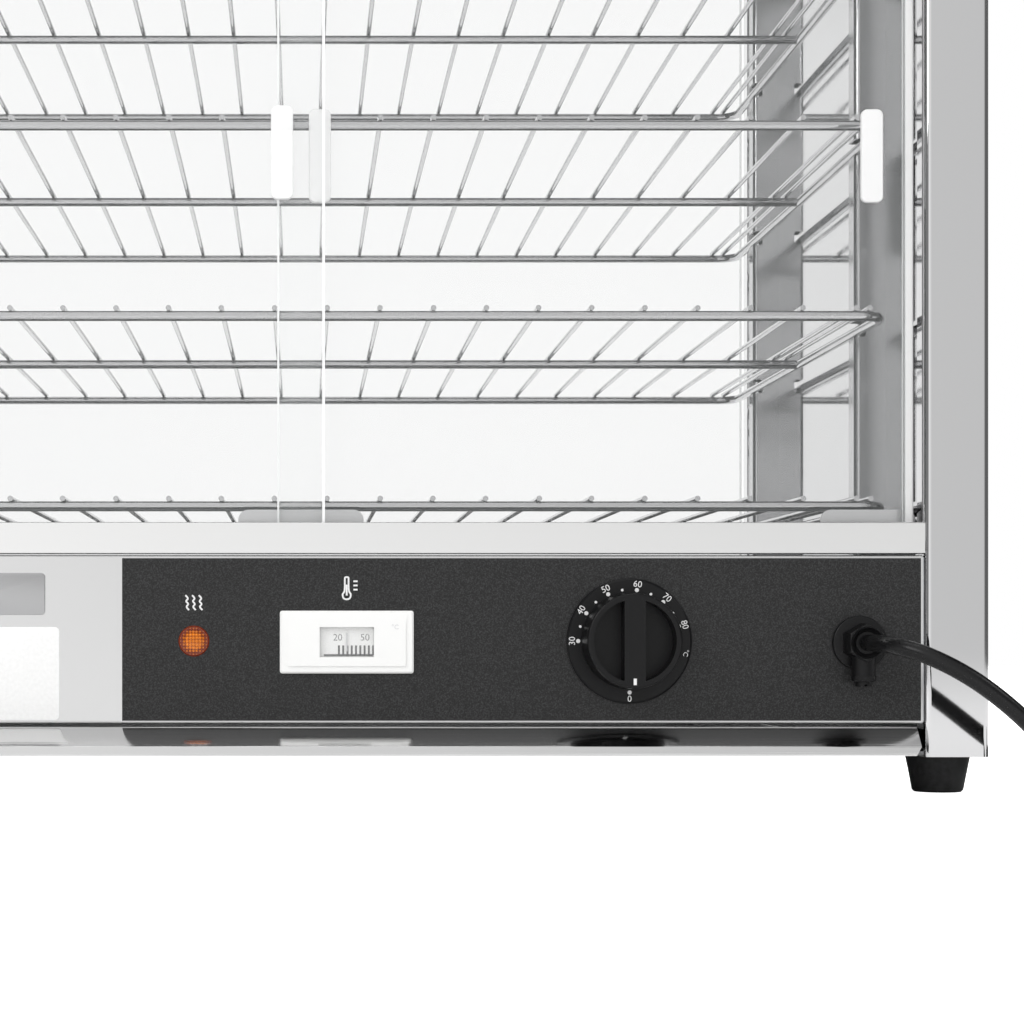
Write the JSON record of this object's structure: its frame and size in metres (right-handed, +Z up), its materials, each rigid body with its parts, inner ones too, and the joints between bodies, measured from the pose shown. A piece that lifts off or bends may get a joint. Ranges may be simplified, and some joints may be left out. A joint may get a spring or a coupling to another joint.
{
  "type": "heated display cabinet",
  "caption": "Heated countertop food display cabinet with sliding glass doors, wire racks, thermostat, thermometer, crumb tray and power cord.",
  "frame": {"origin": "on the table, under the middle of the cabinet's box with its knob and without its cord", "axes": "+Z up, +X to the right along the control panel, +Y away from the control panel"},
  "size_m": [0.856, 0.5002, 0.655],
  "materials": {
    "brushed_steel": "fine straight grain",
    "bright_steel": "near mirror, bright annealed",
    "plain_steel": "unpolished, dull",
    "chrome_wire": "bright plated wire",
    "dark_overlay": "fine textured dark film",
    "glass": "clear, polished edges",
    "clear_plastic": "milky translucent",
    "black_plastic": "satin moulded",
    "white_plastic": "satin moulded",
    "red_plastic": "thin printed strip",
    "amber_lens": "faceted amber",
    "rubber": "matt black",
    "cord_rubber": "smooth black sheath",
    "element_sheath": "oxidised by heat",
    "blade_metal": "plated blades"
  },
  "bodies": {
    "cabinet": {"right_side_casing": "brushed_steel", "left_side_casing": "brushed_steel", "right_side_liner": "bright_steel", "left_side_liner": "bright_steel", "top_lid": "brushed_steel", "near_header": "brushed_steel", "far_header": "brushed_steel", "ceiling_sheet": "bright_steel", "near_lower_track": "brushed_steel", "near_upper_track": "brushed_steel", "far_lower_rail": "brushed_steel", "far_upper_rail": "brushed_steel", "customer_glass": "glass", "track_clips": "plain_steel", "near_right_rack_post": "bright_steel", "near_left_rack_post": "bright_steel", "far_right_rack_post": "bright_steel", "far_left_rack_post": "bright_steel", "liner_rivets": "plain_steel", "control_panel": "brushed_steel", "panel_overlay": "dark_overlay", "wiring_box": "plain_steel", "far_fascia": "brushed_steel", "right_tray_runner": "plain_steel", "left_tray_runner": "plain_steel", "left_heating_element": "element_sheath", "right_heating_element": "element_sheath", "element_crossbar": "plain_steel", "thermostat_body": "black_plastic", "thermostat_bulb": "plain_steel", "dial_ring": "black_plastic", "pilot_lens": "amber_lens", "pilot_lamp_body": "black_plastic", "thermometer_bezel": "white_plastic", "thermometer_window": "clear_plastic", "thermometer_body": "black_plastic", "thermometer_scale": "white_plastic", "cord_gland": "black_plastic", "gland_screw": "plain_steel", "power_cord": "cord_rubber", "cord_coil": "cord_rubber", "cord_plug": "black_plastic", "feet": "rubber", "foot_screws": "plain_steel"},
    "left_door": {"left_door_glass": "glass", "left_door_edge_strip": "clear_plastic", "left_door_grips": "clear_plastic"},
    "right_door": {"right_door_glass": "glass", "right_door_edge_strip": "clear_plastic", "right_door_grips": "clear_plastic"},
    "knob": {"thermostat_knob": "black_plastic", "thermostat_shaft": "plain_steel"},
    "tray": {"crumb_tray": "brushed_steel"},
    "pointer": {"thermometer_pointer": "red_plastic"},
    "rack_1": {"wire_rack_1": "chrome_wire"},
    "rack_2": {"wire_rack_2": "chrome_wire"},
    "rack_3": {"wire_rack_3": "chrome_wire"},
    "rack_4": {"wire_rack_4": "chrome_wire"},
    "rack_5": {"wire_rack_5": "chrome_wire"}
  },
  "joints": [
    {"name": "left_door_slide", "type": "slide", "parent": "cabinet", "child": "left_door", "axis": [1, 0, 0], "range_m": [0, 0.285]},
    {"name": "right_door_slide", "type": "slide", "parent": "cabinet", "child": "right_door", "axis": [-1, 0, 0], "range_m": [0, 0.285]},
    {"name": "knob_turn", "type": "hinge", "parent": "cabinet", "child": "knob", "pos_m": [0.1571, -0.2085, 0.0736], "axis": [0, 1, 0], "range_deg": [0, 270]},
    {"name": "tray_slide", "type": "slide", "parent": "cabinet", "child": "tray", "axis": [0, -1, 0], "range_m": [0, 0.34]},
    {"name": "pointer_travel", "type": "slide", "parent": "cabinet", "child": "pointer", "axis": [1, 0, 0], "range_m": [-0.011, 0.011]},
    {"name": "rack_1_shift", "type": "slide", "parent": "cabinet", "child": "rack_1", "axis": [0, 1, 0], "range_m": [-0.009, 0.009]},
    {"name": "rack_2_shift", "type": "slide", "parent": "cabinet", "child": "rack_2", "axis": [0, 1, 0], "range_m": [-0.009, 0.009]},
    {"name": "rack_3_shift", "type": "slide", "parent": "cabinet", "child": "rack_3", "axis": [0, 1, 0], "range_m": [-0.009, 0.009]},
    {"name": "rack_4_shift", "type": "slide", "parent": "cabinet", "child": "rack_4", "axis": [0, 1, 0], "range_m": [-0.009, 0.009]},
    {"name": "rack_5_shift", "type": "slide", "parent": "cabinet", "child": "rack_5", "axis": [0, 1, 0], "range_m": [-0.009, 0.009]}
  ]
}
